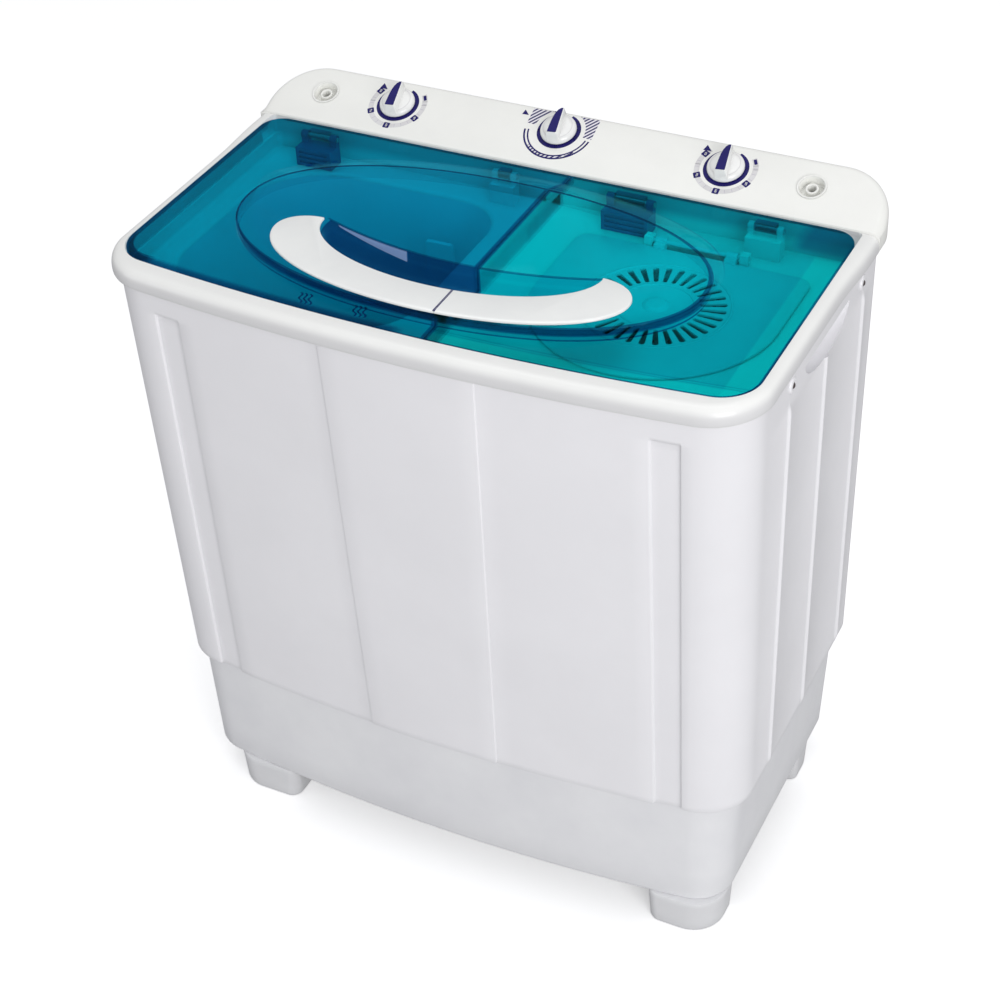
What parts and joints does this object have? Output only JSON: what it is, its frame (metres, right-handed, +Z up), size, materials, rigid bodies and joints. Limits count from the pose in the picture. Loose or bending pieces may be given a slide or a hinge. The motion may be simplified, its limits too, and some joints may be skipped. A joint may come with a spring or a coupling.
{
  "type": "twin tub washer",
  "caption": "Twin tub washing machine with a wash tub and a spin tub, two hinged tinted lids, a sloped rear console with dials, a tapered cabinet and feet.",
  "frame": {"origin": "on the floor, under the middle of the machine", "axes": "+Z up, -Y to the user's side (front), +X to the user's right as seen from the front (the spin tub side)"},
  "size_m": [0.728, 0.4706, 0.7811],
  "materials": {
    "cabinet_white": "moulded white plastic, soft gloss",
    "base_white": "moulded off-white plastic, fine grain",
    "deck_white": "moulded warm white plastic, gloss",
    "tub_white": "moulded white polypropylene",
    "foot_plastic": "moulded off-white plastic",
    "lid_blue": "clear tinted plastic, deep blue-teal, polished",
    "lid_teal": "clear tinted plastic, teal, polished",
    "inner_lid_plastic": "blue moulded plastic, gloss",
    "handle_white": "white plastic, gloss",
    "navy_plastic": "navy plastic, satin",
    "steel": "bright steel",
    "grey_plastic": "grey engineering plastic",
    "motor_paint": "dark grey painted steel shell",
    "black_rubber": "black rubber",
    "pulsator_blue": "light blue plastic, gloss",
    "filter_mesh": "fine blue mesh in a plastic frame"
  },
  "bodies": {
    "washer_housing": {"back_cover": "base_white", "base_frame": "base_white", "bearing_housing": "grey_plastic", "cabinet": "cabinet_white", "console_housing": "deck_white", "drain_hose": "grey_plastic", "drain_selector": "grey_plastic", "drain_valve_body": "grey_plastic", "drive_belt": "black_rubber", "foot_front_left": "foot_plastic", "foot_front_right": "foot_plastic", "foot_rear_left": "foot_plastic", "foot_rear_right": "foot_plastic", "lid_switch": "grey_plastic", "overflow_cover": "tub_white", "power_cord": "black_rubber", "power_plug": "black_rubber", "run_capacitor": "grey_plastic", "side_screw_1": "steel", "side_screw_2": "steel", "side_screw_3": "steel", "side_screw_4": "steel", "spin_hinge_block": "navy_plastic", "spin_hinge_pin_left": "steel", "spin_hinge_pin_right": "steel", "spin_inlet_port": "deck_white", "spin_motor": "motor_paint", "spin_motor_mount_1": "black_rubber", "spin_motor_mount_2": "black_rubber", "spin_motor_mount_3": "black_rubber", "spin_seal": "black_rubber", "spin_timer": "grey_plastic", "top_deck": "deck_white", "twin_tub": "tub_white", "wash_hinge_block": "navy_plastic", "wash_hinge_pin_left": "steel", "wash_hinge_pin_right": "steel", "wash_inlet_port": "deck_white", "wash_motor": "motor_paint", "wash_timer": "grey_plastic"},
    "wash_lid_group": {"wash_lid": "lid_blue", "wash_lid_handle": "handle_white"},
    "spin_lid_group": {"spin_lid": "lid_teal", "spin_lid_handle": "handle_white"},
    "inner_lid": {"spin_inner_lid": "inner_lid_plastic"},
    "wash_knob": {"wash_timer_knob": "handle_white"},
    "drain_knob": {"drain_selector_knob": "handle_white"},
    "spin_knob": {"spin_timer_knob": "handle_white"},
    "valve_plug": {"drain_valve_plug": "black_rubber"},
    "pulsator_drive": {"pulsator": "pulsator_blue", "pulsator_screw": "steel", "pulsator_shaft": "steel", "pulsator_pulley": "grey_plastic"},
    "wash_motor_rotor": {"wash_motor_pulley": "grey_plastic", "wash_motor_shaft": "steel"},
    "spinner": {"spin_basket": "tub_white", "spin_shaft": "steel", "brake_drum": "steel"},
    "brake": {"brake_lever": "steel"},
    "lint_catcher": {"lint_filter": "filter_mesh"}
  },
  "joints": [
    {"name": "wash_lid_hinge", "type": "hinge", "parent": "washer_housing", "child": "wash_lid_group", "pos_m": [-0.167, 0.12, 0.729], "axis": [-1, 0, 0], "range_deg": [0, 100]},
    {"name": "spin_lid_hinge", "type": "hinge", "parent": "washer_housing", "child": "spin_lid_group", "pos_m": [0.1775, 0.12, 0.729], "axis": [-1, 0, 0], "range_deg": [0, 100]},
    {"name": "inner_lid_hinge", "type": "hinge", "parent": "washer_housing", "child": "inner_lid", "pos_m": [0.185, 0.091, 0.7065], "axis": [-1, 0, 0], "range_deg": [0, 91]},
    {"name": "wash_timer_turn", "type": "hinge", "parent": "washer_housing", "child": "wash_knob", "pos_m": [-0.208, 0.17652, 0.75516], "axis": [0, 0.3746, -0.9272], "range_deg": [0, 300]},
    {"name": "drain_selector_turn", "type": "hinge", "parent": "washer_housing", "child": "drain_knob", "pos_m": [-0.013, 0.18209, 0.7574], "axis": [0, 0.3746, -0.9272], "range_deg": [0, 90]},
    {"name": "spin_timer_turn", "type": "hinge", "parent": "washer_housing", "child": "spin_knob", "pos_m": [0.182, 0.17652, 0.75516], "axis": [0, 0.3746, -0.9272], "range_deg": [0, 300]},
    {"name": "drain_valve_lift", "type": "slide", "parent": "washer_housing", "child": "valve_plug", "axis": [0, 0, 1], "range_m": [0, 0.0121]},
    {"name": "pulsator_spin", "type": "hinge", "parent": "washer_housing", "child": "pulsator_drive", "pos_m": [-0.178, -0.032, 0.2], "axis": [0, 0, 1], "continuous": true},
    {"name": "wash_motor_spin", "type": "hinge", "parent": "washer_housing", "child": "wash_motor_rotor", "pos_m": [-0.012, 0.078, 0.14], "axis": [0, 0, 1], "continuous": true},
    {"name": "spinner_spin", "type": "hinge", "parent": "washer_housing", "child": "spinner", "pos_m": [0.185, -0.018, 0.3], "axis": [0, 0, 1], "continuous": true},
    {"name": "brake_turn", "type": "hinge", "parent": "washer_housing", "child": "brake", "pos_m": [0.2365, 0.044, 0.181], "axis": [0, 0, -1], "range_deg": [0, 8.1]},
    {"name": "lint_filter_lift", "type": "slide", "parent": "washer_housing", "child": "lint_catcher", "axis": [0, 0, 1], "range_m": [0, 0.025]}
  ],
  "couplings": [
    {"joint": "inner_lid_hinge", "follows": "spin_lid_hinge", "ratio": 0.9},
    {"joint": "brake_turn", "follows": "spin_lid_hinge", "ratio": 0.08},
    {"joint": "drain_valve_lift", "follows": "drain_selector_turn", "m_per_rad": 0.007639},
    {"joint": "wash_motor_spin", "follows": "pulsator_spin", "ratio": 4.1111}
  ]
}
